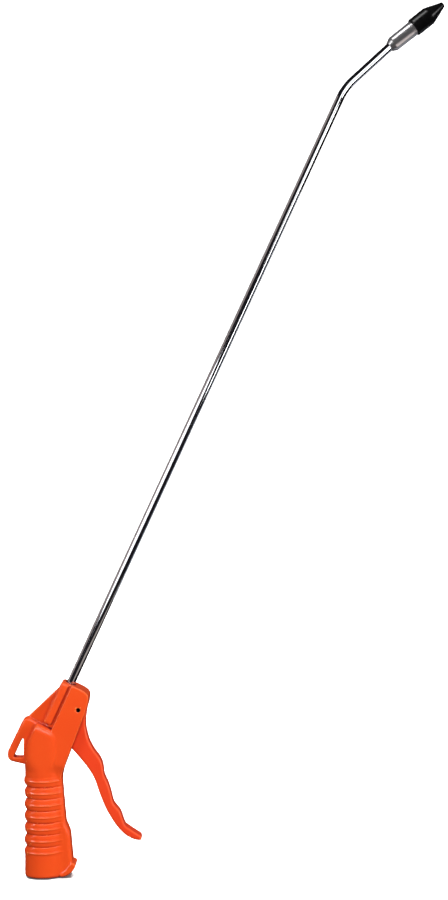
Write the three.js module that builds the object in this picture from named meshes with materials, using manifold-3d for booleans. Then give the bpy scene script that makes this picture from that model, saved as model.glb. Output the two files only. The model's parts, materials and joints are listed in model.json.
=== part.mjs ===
// Long-reach compressed-air blow gun: a moulded pistol grip with a finger lever, a bent
// extension tube, a crimped sleeve and a conical rubber tip.
// Millimetres, +Z up, +X toward the lever and the tip, origin at the air inlet in the base.
import * as THREE from 'three';
import { mergeVertices } from 'three/examples/jsm/utils/BufferGeometryUtils.js';
import Module from 'manifold-3d';

const wasm = await Module();
wasm.setup();

// ---- driving dimensions -------------------------------------------------------------
const GAP = 0.15; // assembly gap between pieces that do not move against each other
const RUNNING = 0.3; // clearance of a moving piece
const BITE = 2; // how far a cutting tool runs past the face it enters

const TUBE_RADIUS = 3.175; // quarter-inch tube
const TUBE_BORE = 2.25;
const TUBE_SIDES = 20;
const NOSE = new THREE.Vector3(17.97, 0, 146.5); // tube axis at the nose face
const BEND = new THREE.Vector3(228.6, 0, 604.3); // corner of the tube axis
const MOUTH = new THREE.Vector3(263.0, 0, 635.7); // tube axis at the mouth of the sleeve
const TIP_DIRECTION = new THREE.Vector3(0.7826, 0, 0.6225).normalize();
const BEND_RADIUS = 46;
const CRIMP_RADIUS = 30;
const TUBE_IN_NOSE = 24;
const TUBE_IN_SLEEVE = 13;

const CHEEK_HALF = 11; // half width of the head
const PLATE_HALF = 3.8; // half width of the web and hanging hook
const SPINE_HALF = 8.2; // half width of the smooth band down the front of the grip
const SLOT_HALF = 6.7;
const LEVER_HALF = 6.2;
const BOSS_RADIUS = 6.7;
const NOSE_FACE = 0.8; // nose face past the NOSE point, along the tube

const GRIP_CENTRE = -2.7;
const GRIP_DEPTH = 12.6; // half depth of the grip between ribs, fore and aft
const GRIP_WIDTH = 12.0; // half width of the grip between ribs
const RIB_HEIGHT = 1.9;
const RIB_PITCH = 9.0;
const RIB_FIRST = 19.2; // height of the lowest rib
const RIB_COUNT = 7;
const GRIP_TOP = 97;

const PIVOT_ALONG = -13.7; // pivot below the nose face, along the tube
const PIVOT_AHEAD = 14.0; // pivot in front of the tube axis
const PIN_RADIUS = 1.5;
const PIN_HALF = 9.9;
const LEVER_EYE = 6.0; // radius of the lever around its pivot

const VALVE_ALONG = -42; // valve axis below the nose face, along the tube
const CHAMBER_RADIUS = 4.3;
const CHAMBER_END = -8.6; // positions along the valve axis, measured from the tube axis
const CARTRIDGE_BACK = 0.7;
const CARTRIDGE_RADIUS = 5.2;
const SLOT_FLOOR = 7.6;
const STEM_RADIUS = 1.25;
const STEM_END = 11.6;
const POPPET_BACK = -2.4;
const POPPET_FRONT = -1.0;
const POPPET_RADIUS = 3.4;
const SEAL_FRONT = 0.4;
const SEAT_BORE = 2.2;
const PORT_CENTRE = 3.2;
const PORT_RADIUS = 1.3;

const INLET_RADIUS = 5.7; // bore of the threaded inlet
const BUSHING_RADIUS = 8.2;
const BUSHING_LENGTH = 16;
const DUCT_RADIUS = 2.8;

const FERRULE_RADIUS = 5.1;
const FERRULE_LENGTH = 25.5;
const FERRULE_SHOULDER = -2.0;
const FERRULE_NECK = 3.95;

const SLEEVE_RADIUS = 5.85;
const SLEEVE_LENGTH = 23.4;
const SLEEVE_CONE = 3.8;
const TIP_RADIUS = 7.03;
const TIP_CYLINDER = 14.7;
const TIP_CONE = 14.3;
const TIP_END_RADIUS = 2.0;
const TIP_HOLE = 1.0;
const SPIGOT_RADIUS = 4.7;
const SPIGOT_LENGTH = 8.5;

// ---- finishes -----------------------------------------------------------------------
const FINISH = {
  orange: { color: 0xee5022, roughness: 0.42, metalness: 0 },
  red: { color: 0xf04424, roughness: 0.4, metalness: 0 },
  chrome: { color: 0xc9ccd0, roughness: 0.12, metalness: 1 },
  aluminium: { color: 0xd6d8db, roughness: 0.25, metalness: 1 },
  brass: { color: 0xc9a24f, roughness: 0.3, metalness: 1 },
  steel: { color: 0xa8abaf, roughness: 0.35, metalness: 1 },
  rubber: { color: 0x151516, roughness: 0.5, metalness: 0 },
};

// ---- frame of the head: along the tube (a), ahead of it (b) -------------------------
const ALONG = new THREE.Vector3().subVectors(BEND, NOSE).normalize();
const AHEAD = new THREE.Vector3(ALONG.z, 0, -ALONG.x);

function head(a, b) {
  return NOSE.clone().addScaledVector(ALONG, a).addScaledVector(AHEAD, b);
}

function flat(point) {
  return new THREE.Vector2(point.x, point.z);
}

const PIVOT = head(PIVOT_ALONG, PIVOT_AHEAD);

// ---- solids -------------------------------------------------------------------------
function toSolid(geometry) {
  const bare = geometry.clone();
  bare.deleteAttribute('normal');
  bare.deleteAttribute('uv');
  const merged = mergeVertices(bare, 1e-4);
  const mesh = new wasm.Mesh({
    numProp: 3,
    vertProperties: new Float32Array(merged.attributes.position.array),
    triVerts: new Uint32Array(merged.index.array),
  });
  return new wasm.Manifold(mesh);
}

function toGeometry(solid) {
  const mesh = solid.getMesh();
  const geometry = new THREE.BufferGeometry();
  geometry.setAttribute('position', new THREE.BufferAttribute(Float32Array.from(mesh.vertProperties), 3));
  geometry.setIndex(Array.from(mesh.triVerts));
  geometry.computeVertexNormals();
  return geometry;
}

// Turned piece: [radius, position] pairs from the near end to the far end, on an axis.
function turned(profile, origin, axis, sides = 20) {
  const points = profile.map(([radius, position]) => new THREE.Vector2(radius, position));
  const first = points[0];
  const last = points[points.length - 1];
  if (first.x > 0 && !first.equals(last)) {
    points.push(first.clone());
  }
  const geometry = new THREE.LatheGeometry(points, sides);
  const turn = new THREE.Quaternion().setFromUnitVectors(new THREE.Vector3(0, 1, 0), axis);
  geometry.applyQuaternion(turn);
  geometry.translate(origin.x, origin.y, origin.z);
  return toSolid(geometry);
}

function cylinder(radius, from, to, origin, axis, sides = 20) {
  return turned([[0, from], [radius, from], [radius, to], [0, to]], origin, axis, sides);
}

function ringOf(major, minor, centre, origin, axis, sides = 18, around = 6) {
  const points = [];
  for (let i = 0; i <= around; i += 1) {
    const angle = (i / around) * Math.PI * 2;
    points.push(new THREE.Vector2(major + minor * Math.cos(angle), centre + minor * Math.sin(angle)));
  }
  points[around] = points[0].clone();
  const geometry = new THREE.LatheGeometry(points, sides);
  geometry.applyQuaternion(new THREE.Quaternion().setFromUnitVectors(new THREE.Vector3(0, 1, 0), axis));
  geometry.translate(origin.x, origin.y, origin.z);
  return toSolid(geometry);
}

// Closed outline with its corners rounded: [x, z, radius] for each corner.
function roundedShape(corners) {
  const shape = new THREE.Shape();
  const count = corners.length;
  for (let i = 0; i < count; i += 1) {
    const here = new THREE.Vector2(corners[i][0], corners[i][1]);
    const before = new THREE.Vector2(...corners[(i + count - 1) % count].slice(0, 2));
    const after = new THREE.Vector2(...corners[(i + 1) % count].slice(0, 2));
    const reach = Math.min(corners[i][2] ?? 0, here.distanceTo(before) * 0.45, here.distanceTo(after) * 0.45);
    const start = here.clone().lerp(before, reach / here.distanceTo(before));
    const end = here.clone().lerp(after, reach / here.distanceTo(after));
    if (i === 0) {
      shape.moveTo(start.x, start.y);
    } else {
      shape.lineTo(start.x, start.y);
    }
    if (reach > 0.01) {
      shape.quadraticCurveTo(here.x, here.y, end.x, end.y);
    }
  }
  shape.closePath();
  return shape;
}

// Side outline (x, z) given a width across Y, with rounded edges.
function slab(shape, half, edge = 0, curveSegments = 3) {
  const geometry = new THREE.ExtrudeGeometry(shape, {
    depth: 2 * (half - edge),
    steps: 1,
    curveSegments,
    bevelEnabled: edge > 0,
    bevelThickness: edge,
    bevelSize: edge,
    bevelOffset: -edge,
    bevelSegments: 2,
  });
  geometry.translate(0, 0, -(half - edge));
  geometry.rotateX(Math.PI / 2);
  return toSolid(geometry);
}

// Skin over a row of rings that all have the same number of points.
function loft(rings) {
  const sides = rings[0].length;
  const positions = [];
  const index = [];
  for (const ring of rings) {
    for (const point of ring) {
      positions.push(point.x, point.y, point.z);
    }
  }
  for (let r = 0; r + 1 < rings.length; r += 1) {
    for (let s = 0; s < sides; s += 1) {
      const next = (s + 1) % sides;
      const a = r * sides + s;
      const b = r * sides + next;
      const c = a + sides;
      const d = b + sides;
      index.push(a, b, d, a, d, c);
    }
  }
  for (const end of [0, rings.length - 1]) {
    const centre = new THREE.Vector3();
    for (const point of rings[end]) {
      centre.addScaledVector(point, 1 / sides);
    }
    positions.push(centre.x, centre.y, centre.z);
    const hub = positions.length / 3 - 1;
    for (let s = 0; s < sides; s += 1) {
      const a = end * sides + s;
      const b = end * sides + ((s + 1) % sides);
      if (end === 0) {
        index.push(hub, b, a);
      } else {
        index.push(hub, a, b);
      }
    }
  }
  const geometry = new THREE.BufferGeometry();
  geometry.setAttribute('position', new THREE.Float32BufferAttribute(positions, 3));
  geometry.setIndex(index);
  return toSolid(geometry);
}

// Round bar that follows a path in the XZ plane.
function bar(stations, radius, sides) {
  const side = new THREE.Vector3(0, 1, 0);
  const rings = stations.map(({ point, direction }) => {
    const up = new THREE.Vector3().crossVectors(direction, side).normalize();
    const ring = [];
    for (let i = 0; i < sides; i += 1) {
      const angle = (i / sides) * Math.PI * 2;
      ring.push(
        point.clone().addScaledVector(up, radius * Math.cos(angle)).addScaledVector(side, -radius * Math.sin(angle)),
      );
    }
    return ring;
  });
  return loft(rings);
}

// Stations of a path with rounded corners: [corner, bend radius, steps] between two ends.
function bentPath(start, corners, finish) {
  const stations = [];
  let previous = start;
  corners.forEach(([corner, radius, steps], i) => {
    const following = i + 1 < corners.length ? corners[i + 1][0] : finish;
    const into = new THREE.Vector3().subVectors(corner, previous).normalize();
    const out = new THREE.Vector3().subVectors(following, corner).normalize();
    if (i === 0) {
      stations.push({ point: start.clone(), direction: into });
    }
    const turn = into.angleTo(out);
    const setback = radius * Math.tan(turn / 2);
    const inward = new THREE.Vector3().subVectors(out, into).normalize();
    const centre = corner.clone().addScaledVector(inward, radius / Math.cos(turn / 2));
    const first = corner.clone().addScaledVector(into, -setback).sub(centre);
    const axis = new THREE.Vector3().crossVectors(into, out).normalize();
    for (let s = 0; s <= steps; s += 1) {
      const angle = (turn * s) / steps;
      stations.push({
        point: first.clone().applyAxisAngle(axis, angle).add(centre),
        direction: into.clone().applyAxisAngle(axis, angle),
      });
    }
    previous = corner;
    if (i + 1 === corners.length) {
      stations.push({ point: finish.clone(), direction: out });
    }
  });
  return stations;
}

// ---- moulded grip -------------------------------------------------------------------
function ribHeight(z) {
  const place = (z - RIB_FIRST) / RIB_PITCH;
  const inside = place > -0.5 && place < RIB_COUNT - 0.5;
  return inside ? RIB_HEIGHT * (0.5 + 0.5 * Math.cos(place * Math.PI * 2)) : 0;
}

function gripRing(z, shrink) {
  const SIDES = 30;
  const SQUARENESS = 2.35;
  const ring = [];
  const back = z > RIB_FIRST + RIB_PITCH * (RIB_COUNT - 0.5) ? 1.2 : 0;
  for (let i = 0; i < SIDES; i += 1) {
    const angle = (i / SIDES) * Math.PI * 2;
    const c = Math.cos(angle);
    const s = Math.sin(angle);
    const fade = THREE.MathUtils.smoothstep(-c, -0.75, -0.35);
    const swell = ribHeight(z) * fade + back * fade - shrink;
    const x = Math.sign(c) * Math.abs(c) ** (2 / SQUARENESS) * (GRIP_DEPTH + swell);
    const y = Math.sign(s) * Math.abs(s) ** (2 / SQUARENESS) * (GRIP_WIDTH + swell * 0.6);
    ring.push(new THREE.Vector3(GRIP_CENTRE + x, y, z));
  }
  return ring;
}

function gripColumn() {
  const rings = [gripRing(0, 2.6), gripRing(0.8, 1.1), gripRing(2.4, 0.2), gripRing(5, 0)];
  rings.push(gripRing(RIB_FIRST - RIB_PITCH * 0.5, 0));
  const steps = RIB_COUNT * 4;
  for (let i = 1; i <= steps; i += 1) {
    rings.push(gripRing(RIB_FIRST + RIB_PITCH * (i / 4 - 0.5), 0));
  }
  rings.push(gripRing(GRIP_TOP - 12, 0));
  rings.push(gripRing(GRIP_TOP - 4, 1.4));
  rings.push(gripRing(GRIP_TOP, 3.4));
  return loft(rings);
}

function hookPlate() {
  const shape = roundedShape([
    [12.0, 146.8, 0],
    [-12.5, 123.7, 2],
    [-17.4, 121.6, 4],
    [-29.9, 96.4, 5],
    [-29.9, 88.9, 5],
    [-16.7, 86.0, 1],
    [-6, 80, 0],
    [2, 110, 0],
    [14, 140, 0],
  ]);
  const hole = roundedShape([
    [-17.3, 105.8, 1.6],
    [-17.3, 90.4, 1.6],
    [-25.6, 90.4, 1.8],
  ]);
  return slab(shape, PLATE_HALF, 1.0).subtract(slab(hole, PLATE_HALF + BITE));
}

function headBlock() {
  const at = (a, b, radius) => [head(a, b).x, head(a, b).z, radius];
  const shape = roundedShape([
    at(NOSE_FACE, 1.0, 0),
    at(NOSE_FACE, 18.4, 6),
    [31.6, 130.5, 3],
    [28.7, 122.5, 2],
    [19.6, 98.9, 3],
    [11.6, 79.0, 2],
    [8, 70, 0],
    [-14.2, 80, 2],
    [-14.6, 102, 3],
    at(-37.2, -10.6, 3),
    at(-37.2, 1.0, 0.6),
  ]);
  return slab(shape, CHEEK_HALF, 1.6);
}

function frontSpine() {
  const shape = roundedShape([
    [10.9, 82, 2],
    [11.2, 72, 0],
    [14.0, 40.6, 2],
    [17.2, 33.4, 3],
    [19.3, 11.6, 1.5],
    [22.6, 8.0, 2.6],
    [21.4, 4.4, 2],
    [13.6, 0.0, 2.5],
    [-4, 0, 0],
    [-4, 82, 0],
  ]);
  return slab(shape, SPINE_HALF, 1.2);
}

function leverSlot() {
  const at = (a, b) => {
    const point = head(a, b);
    return [point.x, point.z, 0];
  };
  return slab(
    roundedShape([at(-7.2, SLOT_FLOOR), at(-7.2, 30), [60, 70, 0], [17.6, 84.6, 0], at(-50, SLOT_FLOOR)]),
    SLOT_HALF,
  );
}

function alongDuct(radius, from, to, sides = 24) {
  const axis = new THREE.Vector3().subVectors(to, from);
  const length = axis.length();
  return cylinder(radius, 0, length, from, axis.normalize(), sides);
}

const UP = new THREE.Vector3(0, 0, 1);
const ACROSS = new THREE.Vector3(0, 1, 0);
const BASE = new THREE.Vector3(0, 0, 0);
const VALVE = head(VALVE_ALONG, 0);

function gripHousing() {
  const bossBottom = -46;
  let body = gripColumn()
    .add(hookPlate())
    .add(headBlock())
    .add(frontSpine())
    .add(cylinder(BOSS_RADIUS, bossBottom, NOSE_FACE, NOSE, ALONG, 28));
  const socketTop = BUSHING_LENGTH + 2.2;
  const cuts = [
    leverSlot(),
    cylinder(BUSHING_RADIUS + GAP, -BITE, socketTop, BASE, UP),
    alongDuct(DUCT_RADIUS, new THREE.Vector3(0, 0, socketTop - 1), head(VALVE_ALONG - 1, -5)),
    cylinder(CHAMBER_RADIUS, CHAMBER_END, SLOT_FLOOR, VALVE, AHEAD),
    cylinder(CARTRIDGE_RADIUS + GAP, CARTRIDGE_BACK - GAP, SLOT_FLOOR + BITE, VALVE, AHEAD),
    cylinder(FERRULE_RADIUS + GAP, -FERRULE_LENGTH - 2, FERRULE_SHOULDER + GAP, NOSE, ALONG),
    cylinder(FERRULE_NECK + GAP, FERRULE_SHOULDER, NOSE_FACE + BITE, NOSE, ALONG),
    cylinder(PORT_RADIUS, VALVE_ALONG, -FERRULE_LENGTH - 1, head(0, PORT_CENTRE), ALONG, 16),
    cylinder(PIN_RADIUS + 0.1, -CHEEK_HALF - BITE, CHEEK_HALF + BITE, PIVOT, ACROSS, 16),
    cylinder(2.3, CHEEK_HALF - 0.7, CHEEK_HALF + BITE, PIVOT, ACROSS, 16),
    cylinder(2.3, -CHEEK_HALF - BITE, -CHEEK_HALF + 0.7, PIVOT, ACROSS, 16),
  ];
  for (const cut of cuts) {
    body = body.subtract(cut);
  }
  return body;
}

// ---- air inlet ----------------------------------------------------------------------
function inletBushing() {
  const lip = 0.8;
  const thread = 12.5;
  return turned(
    [
      [INLET_RADIUS + lip, 0],
      [BUSHING_RADIUS, 0],
      [BUSHING_RADIUS, BUSHING_LENGTH - 1],
      [BUSHING_RADIUS - 1, BUSHING_LENGTH],
      [DUCT_RADIUS + 0.4, BUSHING_LENGTH],
      [DUCT_RADIUS + 0.4, thread + 1.5],
      [INLET_RADIUS - 0.4, thread],
      [INLET_RADIUS, lip],
    ],
    BASE,
    UP,
    24,
  );
}

// ---- valve --------------------------------------------------------------------------
function valveCartridge() {
  const front = SLOT_FLOOR - 0.3;
  const body = turned(
    [
      [SEAT_BORE, CARTRIDGE_BACK],
      [SEAT_BORE + 0.9, CARTRIDGE_BACK],
      [SEAT_BORE + 1.1, CARTRIDGE_BACK + 0.3],
      [CARTRIDGE_RADIUS, CARTRIDGE_BACK + 0.3],
      [CARTRIDGE_RADIUS, 1.0],
      [4.1, 1.2],
      [4.1, 2.3],
      [CARTRIDGE_RADIUS, 2.5],
      [CARTRIDGE_RADIUS, front],
      [STEM_RADIUS + RUNNING, front],
      [STEM_RADIUS + RUNNING, 6.9],
      [2.4, 6.9],
      [2.4, 5.4],
      [STEM_RADIUS + RUNNING, 5.4],
      [STEM_RADIUS + RUNNING, 4.9],
      [SEAT_BORE, 4.7],
    ],
    VALVE,
    AHEAD,
    20,
  );
  const port = cylinder(PORT_RADIUS, 0, 8, VALVE.clone().addScaledVector(AHEAD, PORT_CENTRE + 0.4), ALONG, 10);
  return body.subtract(port);
}

function valveStem() {
  return turned(
    [
      [0, POPPET_FRONT + GAP],
      [STEM_RADIUS, POPPET_FRONT + GAP],
      [STEM_RADIUS, STEM_END - 0.7],
      [STEM_RADIUS * 0.75, STEM_END - 0.2],
      [0, STEM_END],
    ],
    VALVE,
    AHEAD,
    14,
  );
}

function valvePoppet() {
  return turned(
    [
      [0, POPPET_BACK - 1.2],
      [1.5, POPPET_BACK - 1.2],
      [1.7, POPPET_BACK],
      [POPPET_RADIUS, POPPET_BACK],
      [POPPET_RADIUS, POPPET_FRONT],
      [0, POPPET_FRONT],
    ],
    VALVE,
    AHEAD,
    18,
  );
}

function poppetSeal() {
  const back = POPPET_FRONT + GAP;
  return turned(
    [
      [STEM_RADIUS + 0.1, back],
      [POPPET_RADIUS - 0.2, back],
      [POPPET_RADIUS - 0.4, SEAL_FRONT],
      [STEM_RADIUS + 0.1, SEAL_FRONT],
    ],
    VALVE,
    AHEAD,
    18,
  );
}

function valveSpring() {
  const WIRE = 0.25;
  const COIL = 2.5;
  const TURNS = 3;
  const STEPS = 10;
  const SIDES = 5;
  const from = CHAMBER_END + WIRE + 0.12;
  const to = POPPET_BACK - WIRE - 0.12;
  const along = AHEAD;
  const right = ACROSS;
  const up = ALONG;
  const rings = [];
  const total = TURNS * STEPS;
  for (let i = 0; i <= total; i += 1) {
    const angle = (i / STEPS) * Math.PI * 2;
    const lift = from + ((to - from) * i) / total;
    const outward = right.clone().multiplyScalar(Math.cos(angle)).addScaledVector(up, Math.sin(angle));
    const centre = VALVE.clone().addScaledVector(along, lift).addScaledVector(outward, COIL);
    const ring = [];
    for (let s = 0; s < SIDES; s += 1) {
      const turn = (s / SIDES) * Math.PI * 2;
      ring.push(
        centre.clone().addScaledVector(outward, WIRE * Math.cos(turn)).addScaledVector(along, -WIRE * Math.sin(turn)),
      );
    }
    rings.push(ring);
  }
  return loft(rings);
}

// ---- lever --------------------------------------------------------------------------
function lever() {
  const at = (a, b, radius) => [head(a, b).x, head(a, b).z, radius];
  const front = [
    [30.9, 128.0, 1],
    [29.8, 119.0, 6],
    [30.2, 112.5, 6],
    [32.6, 103.0, 6],
    [36.6, 96.0, 4],
    [41.2, 90.0, 3],
    [43.3, 84.0, 4],
    [43.7, 78.2, 2.5],
    [47.0, 71.0, 4],
    [49.3, 63.5, 4],
    [51.0, 56.3, 2.5],
    [56.4, 49.6, 4],
    [58.6, 43.6, 4],
    [60.4, 39.2, 2.5],
    [67.4, 34.2, 3],
    [72.6, 30.8, 2.6],
    [72.8, 26.2, 2.4],
    [68.6, 26.6, 2.4],
  ];
  const back = [
    [61.6, 31.6, 4],
    [54.9, 38.7, 5],
    [47.0, 50.9, 6],
    [41.5, 63.1, 6],
    [37.0, 75.3, 6],
    [31.5, 84.5, 6],
    [23.8, 93.7, 4],
    at(-46.4, 17.5, 2),
    at(-46.4, 12.0, 2),
    at(-38.6, 12.0, 2),
    at(-30, 11.2, 4),
    at(PIVOT_ALONG - 6, PIVOT_AHEAD - 5.4, 3),
    at(PIVOT_ALONG, PIVOT_AHEAD - LEVER_EYE, 4),
    at(PIVOT_ALONG + LEVER_EYE, PIVOT_AHEAD - LEVER_EYE, 5),
    at(PIVOT_ALONG + LEVER_EYE, PIVOT_AHEAD + LEVER_EYE * 0.8, 5),
  ];
  const plate = slab(roundedShape([...front, ...back]), LEVER_HALF, 0.9, 2);
  return plate.subtract(cylinder(PIN_RADIUS + RUNNING, -LEVER_HALF - BITE, LEVER_HALF + BITE, PIVOT, ACROSS, 16));
}

function pivotPin() {
  const chamfer = 0.3;
  const slit = 0.3;
  const pin = turned(
    [
      [PIN_RADIUS - 0.5, -PIN_HALF],
      [PIN_RADIUS - chamfer, -PIN_HALF],
      [PIN_RADIUS, -PIN_HALF + chamfer],
      [PIN_RADIUS, PIN_HALF - chamfer],
      [PIN_RADIUS - chamfer, PIN_HALF],
      [PIN_RADIUS - 0.5, PIN_HALF],
    ],
    PIVOT,
    ACROSS,
    16,
  );
  const cutter = new THREE.BoxGeometry(slit, 2 * PIN_HALF + BITE, PIN_RADIUS * 2);
  cutter.translate(PIVOT.x, 0, PIVOT.z - PIN_RADIUS);
  return pin.subtract(toSolid(cutter));
}

// ---- extension tube and its seat in the nose ----------------------------------------
function tubeSolid() {
  const start = head(-TUBE_IN_NOSE, 0);
  const finish = MOUTH.clone().addScaledVector(TIP_DIRECTION, TUBE_IN_SLEEVE);
  const corners = [
    [BEND, BEND_RADIUS, 8],
    [MOUTH, CRIMP_RADIUS, 3],
  ];
  const stations = bentPath(start, corners, finish);
  const inner = stations.map(({ point, direction }) => ({ point: point.clone(), direction }));
  inner[0].point.addScaledVector(inner[0].direction, -BITE);
  inner[inner.length - 1].point.addScaledVector(inner[inner.length - 1].direction, BITE);
  return bar(stations, TUBE_RADIUS, TUBE_SIDES).subtract(bar(inner, TUBE_BORE, TUBE_SIDES));
}

function tubeFerrule() {
  const bore = TUBE_RADIUS + GAP;
  return turned(
    [
      [TUBE_BORE, -FERRULE_LENGTH],
      [FERRULE_RADIUS - 0.8, -FERRULE_LENGTH],
      [FERRULE_RADIUS, -FERRULE_LENGTH + 0.8],
      [FERRULE_RADIUS, -18],
      [3.9, -17.8],
      [3.9, -16.0],
      [FERRULE_RADIUS, -15.8],
      [FERRULE_RADIUS, FERRULE_SHOULDER],
      [FERRULE_NECK, FERRULE_SHOULDER],
      [FERRULE_NECK, NOSE_FACE - 0.1],
      [bore + 0.2, NOSE_FACE + 0.3],
      [bore, NOSE_FACE + 0.3],
      [bore, -TUBE_IN_NOSE - GAP],
      [TUBE_BORE, -TUBE_IN_NOSE - GAP],
    ],
    NOSE,
    ALONG,
    20,
  );
}

// ---- sleeve and rubber tip ----------------------------------------------------------
function tipSleeve() {
  const bore = TUBE_RADIUS + GAP;
  const groove = 0.25;
  const grooves = [];
  for (const place of [21.3, 22.3]) {
    grooves.push([SLEEVE_RADIUS, place - 0.25], [SLEEVE_RADIUS - groove, place], [SLEEVE_RADIUS, place + 0.25]);
  }
  return turned(
    [
      [bore, 0],
      [bore + 0.35, 0],
      [SLEEVE_RADIUS - 0.15, SLEEVE_CONE - 0.3],
      [SLEEVE_RADIUS, SLEEVE_CONE + 0.2],
      ...grooves,
      [SLEEVE_RADIUS - 0.1, SLEEVE_LENGTH - 0.3],
      [SLEEVE_RADIUS - 0.3, SLEEVE_LENGTH],
      [SPIGOT_RADIUS + GAP, SLEEVE_LENGTH],
      [SPIGOT_RADIUS + GAP, SLEEVE_LENGTH - SPIGOT_LENGTH - 0.3],
      [bore, SLEEVE_LENGTH - SPIGOT_LENGTH - 1.2],
    ],
    MOUTH,
    TIP_DIRECTION,
    28,
  );
}

function tipNipple() {
  const start = TUBE_IN_SLEEVE + 0.3;
  return turned(
    [
      [1.3, start],
      [TUBE_RADIUS - 0.1, start],
      [TUBE_RADIUS - 0.1, start + 1.2],
      [2.1, start + 1.4],
      [2.5, start + 3.4],
      [1.9, start + 4.6],
      [2.5, start + 6.8],
      [1.8, start + 9.4],
      [1.3, start + 9.4],
    ],
    MOUTH,
    TIP_DIRECTION,
    16,
  );
}

function rubberTip() {
  const base = SLEEVE_LENGTH + 0.1;
  const shoulder = base + TIP_CYLINDER;
  const end = base + TIP_CYLINDER + TIP_CONE;
  const spigotEnd = base - SPIGOT_LENGTH;
  const bore = 2.65;
  return turned(
    [
      [bore, spigotEnd],
      [SPIGOT_RADIUS, spigotEnd],
      [SPIGOT_RADIUS, base],
      [TIP_RADIUS - 0.7, base],
      [TIP_RADIUS - 0.2, base + 0.25],
      [TIP_RADIUS, base + 0.9],
      [TIP_RADIUS, shoulder - 0.5],
      [TIP_RADIUS - 0.25, shoulder + 0.4],
      [TIP_END_RADIUS + 0.1, end - 0.2],
      [TIP_END_RADIUS - 0.1, end],
      [TIP_HOLE, end],
      [TIP_HOLE, base + 6],
      [bore, base + 3.6],
    ],
    MOUTH,
    TIP_DIRECTION,
    28,
  );
}

// ---- assembly -----------------------------------------------------------------------
const group = new THREE.Group();
group.name = 'air_blow_gun';

function piece(name, solid, finish) {
  const mesh = new THREE.Mesh(toGeometry(solid), new THREE.MeshStandardMaterial({ name, ...FINISH[finish] }));
  mesh.name = name;
  group.add(mesh);
}

piece('grip_housing', gripHousing(), 'orange');
piece('inlet_bushing', inletBushing(), 'brass');
piece('inlet_o_ring', ringOf(6.2, 0.75, BUSHING_LENGTH + 1.1, BASE, UP), 'rubber');
piece('valve_cartridge', valveCartridge(), 'brass');
piece('cartridge_o_ring', ringOf(4.7, 0.45, 1.75, VALVE, AHEAD), 'rubber');
piece('stem_o_ring', ringOf(1.98, 0.38, 6.1, VALVE, AHEAD, 24), 'rubber');
piece('valve_stem', valveStem(), 'steel');
piece('valve_poppet', valvePoppet(), 'brass');
piece('poppet_seal', poppetSeal(), 'rubber');
piece('valve_spring', valveSpring(), 'steel');
piece('lever', lever(), 'red');
piece('pivot_pin', pivotPin(), 'steel');
piece('tube_ferrule', tubeFerrule(), 'brass');
piece('tube_o_ring', ringOf(4.55, 0.5, -16.9, NOSE, ALONG), 'rubber');
piece('extension_tube', tubeSolid(), 'chrome');
piece('tip_sleeve', tipSleeve(), 'aluminium');
piece('tip_nipple', tipNipple(), 'brass');
piece('rubber_tip', rubberTip(), 'rubber');

export default group;
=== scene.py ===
"""Blow gun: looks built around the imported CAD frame. Lengths inside the builders are millimetres."""

import json
import math

import bmesh
import bpy
import numpy as np
from mathutils import Matrix, Vector


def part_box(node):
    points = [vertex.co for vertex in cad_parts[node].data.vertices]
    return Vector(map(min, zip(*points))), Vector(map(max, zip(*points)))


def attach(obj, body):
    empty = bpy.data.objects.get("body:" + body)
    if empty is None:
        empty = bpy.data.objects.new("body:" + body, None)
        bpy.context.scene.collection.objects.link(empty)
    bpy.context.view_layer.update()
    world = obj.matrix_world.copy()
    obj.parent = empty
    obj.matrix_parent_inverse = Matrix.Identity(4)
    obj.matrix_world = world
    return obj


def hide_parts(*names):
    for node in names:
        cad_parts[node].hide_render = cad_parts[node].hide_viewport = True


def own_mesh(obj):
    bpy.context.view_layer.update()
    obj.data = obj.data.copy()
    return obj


MM = 0.001

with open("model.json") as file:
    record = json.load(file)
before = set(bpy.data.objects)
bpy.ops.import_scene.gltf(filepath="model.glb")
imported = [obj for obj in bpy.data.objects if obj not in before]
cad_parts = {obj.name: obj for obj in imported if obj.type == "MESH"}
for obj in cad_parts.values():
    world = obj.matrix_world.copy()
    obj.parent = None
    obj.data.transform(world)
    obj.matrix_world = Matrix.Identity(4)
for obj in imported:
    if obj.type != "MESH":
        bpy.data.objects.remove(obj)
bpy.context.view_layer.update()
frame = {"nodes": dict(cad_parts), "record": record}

# ---- places read from the frame ------------------------------------------------------
JOINTS = {j["name"]: j for j in frame["record"]["behaviour"]["joints"]}
MOUNTS = {m["name"]: m for m in frame["record"]["mounts"]}
AHEAD = -np.array(JOINTS["stem_slide"]["axis"], float)
AHEAD /= np.linalg.norm(AHEAD)
ALONG = np.array([-AHEAD[2], 0.0, AHEAD[0]])
VALVE = np.array(JOINTS["stem_slide"]["pos_m"], float) / MM
PIVOT = np.array(JOINTS["lever_pivot"]["pos_m"], float) / MM
VALVE_BELOW_NOSE = 42.0
NOSE = VALVE + VALVE_BELOW_NOSE * ALONG
TIP_AXIS = np.array(MOUNTS["tip_face"]["axis"], float)
TIP_LENGTH = 52.5
TIP_END = np.array(MOUNTS["tip_face"]["pos_m"], float) / MM * np.array([1, 0, 1])
MOUTH = TIP_END - TIP_LENGTH * TIP_AXIS
BEND = NOSE + 503.93 * ALONG


def head(a, b):
    """Point of the head: a along the tube from the nose, b ahead of the tube, as (x, z)."""
    p = NOSE + a * ALONG + b * AHEAD
    return (float(p[0]), float(p[2]))


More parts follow.
